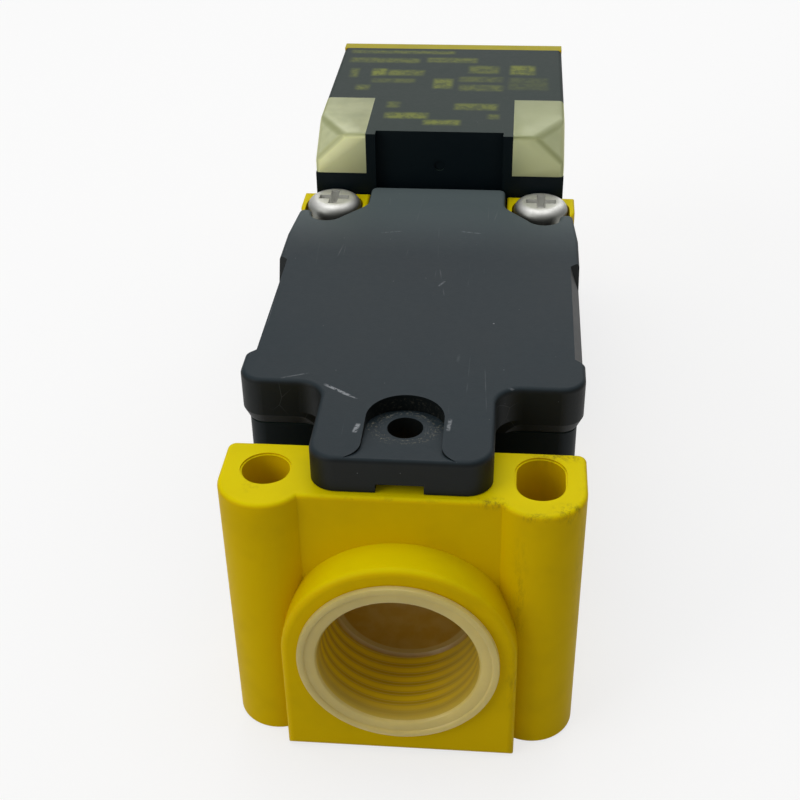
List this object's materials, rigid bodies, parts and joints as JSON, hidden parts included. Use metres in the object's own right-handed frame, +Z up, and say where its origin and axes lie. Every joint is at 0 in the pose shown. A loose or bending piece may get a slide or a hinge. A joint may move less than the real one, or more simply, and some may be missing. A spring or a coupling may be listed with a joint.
{
  "type": "inductive proximity sensor",
  "caption": "Block-style inductive proximity sensor: yellow base with cable entry, black wiring chamber with lift-off cover, and a sensing head with a yellow active face.",
  "frame": {"origin": "middle of the length and width, at the bottom face that the sensor is fixed by", "axes": "+Z up from the mounting face, +Y from the cable entry to the active face, +X to the right as seen from the cable entry"},
  "size_m": [0.04, 0.1148, 0.046],
  "materials": {
    "yellow_plastic": "satin moulded yellow PBT",
    "black_plastic": "satin moulded black PBT",
    "slate_plastic": "matt slate-grey moulded plastic with fine dust",
    "plug_plastic": "milky translucent polyethylene",
    "window_plastic": "translucent ivory-green plastic",
    "gasket_rubber": "soft black rubber",
    "screw_steel": "bright plated steel",
    "insert_brass": "knurled brass",
    "contact_brass": "tinned brass",
    "ferrite": "fired ferrite",
    "former_plastic": "natural nylon",
    "coil_wire": "enamelled copper winding",
    "board_laminate": "green glass laminate",
    "component_body": "moulded black epoxy",
    "led_body": "clear tinted epoxy",
    "terminal_plastic": "grey polyamide",
    "terminal_steel": "zinc-plated steel"
  },
  "bodies": {
    "base": {"terminal_base": "yellow_plastic", "terminal_housing": "black_plastic", "cover_gasket": "gasket_rubber", "cover_screw_insert": "insert_brass", "head_screw_inserts": "insert_brass", "head_housing": "black_plastic", "active_face": "yellow_plastic", "led_window_left": "window_plastic", "led_window_right": "window_plastic", "head_seal": "gasket_rubber", "ferrite_core": "ferrite", "coil_former": "former_plastic", "sensing_coil": "coil_wire", "coil_leads": "coil_wire", "circuit_board": "board_laminate", "board_components": "component_body", "status_leds": "led_body", "head_pins": "contact_brass", "socket_carrier": "terminal_plastic", "socket_contacts": "contact_brass", "terminal_block": "terminal_plastic"},
    "cover": {"terminal_cover": "slate_plastic"},
    "plug": {"entry_plug": "plug_plastic"},
    "head_screw_left": {"head_screw_left": "screw_steel"},
    "head_screw_right": {"head_screw_right": "screw_steel"},
    "terminal_screw_1": {"terminal_screw_1": "terminal_steel"},
    "terminal_cage_1": {"terminal_cage_1": "terminal_steel"},
    "terminal_screw_2": {"terminal_screw_2": "terminal_steel"},
    "terminal_cage_2": {"terminal_cage_2": "terminal_steel"},
    "terminal_screw_3": {"terminal_screw_3": "terminal_steel"},
    "terminal_cage_3": {"terminal_cage_3": "terminal_steel"},
    "terminal_screw_4": {"terminal_screw_4": "terminal_steel"},
    "terminal_cage_4": {"terminal_cage_4": "terminal_steel"}
  },
  "joints": [
    {"name": "cover_lift", "type": "slide", "parent": "base", "child": "cover", "axis": [0, 0, 1], "range_m": [0, 0.03]},
    {"name": "plug_out", "type": "slide", "parent": "base", "child": "plug", "axis": [0, -1, 0], "range_m": [0, 0.014]},
    {"name": "head_screw_left_turn", "type": "hinge", "parent": "base", "child": "head_screw_left", "pos_m": [-0.015, 0.0126, 0.03515], "axis": [0, 0, 1], "continuous": true},
    {"name": "head_screw_right_turn", "type": "hinge", "parent": "base", "child": "head_screw_right", "pos_m": [0.015, 0.0126, 0.03515], "axis": [0, 0, 1], "continuous": true},
    {"name": "terminal_cage_1_rise", "type": "slide", "parent": "base", "child": "terminal_cage_1", "axis": [0, 0, 1], "range_m": [0, 0.003]},
    {"name": "terminal_screw_1_turn", "type": "hinge", "parent": "base", "child": "terminal_screw_1", "pos_m": [-0.0105, -0.0069, 0.018], "axis": [0, 0, -1], "range_deg": [0, 2160]},
    {"name": "terminal_cage_2_rise", "type": "slide", "parent": "base", "child": "terminal_cage_2", "axis": [0, 0, 1], "range_m": [0, 0.003]},
    {"name": "terminal_screw_2_turn", "type": "hinge", "parent": "base", "child": "terminal_screw_2", "pos_m": [-0.0035, -0.0069, 0.018], "axis": [0, 0, -1], "range_deg": [0, 2160]},
    {"name": "terminal_cage_3_rise", "type": "slide", "parent": "base", "child": "terminal_cage_3", "axis": [0, 0, 1], "range_m": [0, 0.003]},
    {"name": "terminal_screw_3_turn", "type": "hinge", "parent": "base", "child": "terminal_screw_3", "pos_m": [0.0035, -0.0069, 0.018], "axis": [0, 0, -1], "range_deg": [0, 2160]},
    {"name": "terminal_cage_4_rise", "type": "slide", "parent": "base", "child": "terminal_cage_4", "axis": [0, 0, 1], "range_m": [0, 0.003]},
    {"name": "terminal_screw_4_turn", "type": "hinge", "parent": "base", "child": "terminal_screw_4", "pos_m": [0.0105, -0.0069, 0.018], "axis": [0, 0, -1], "range_deg": [0, 2160]}
  ],
  "couplings": [
    {"joint": "terminal_screw_1_turn", "follows": "terminal_cage_1_rise", "rad_per_m": 12566},
    {"joint": "terminal_screw_2_turn", "follows": "terminal_cage_2_rise", "rad_per_m": 12566},
    {"joint": "terminal_screw_3_turn", "follows": "terminal_cage_3_rise", "rad_per_m": 12566},
    {"joint": "terminal_screw_4_turn", "follows": "terminal_cage_4_rise", "rad_per_m": 12566}
  ]
}
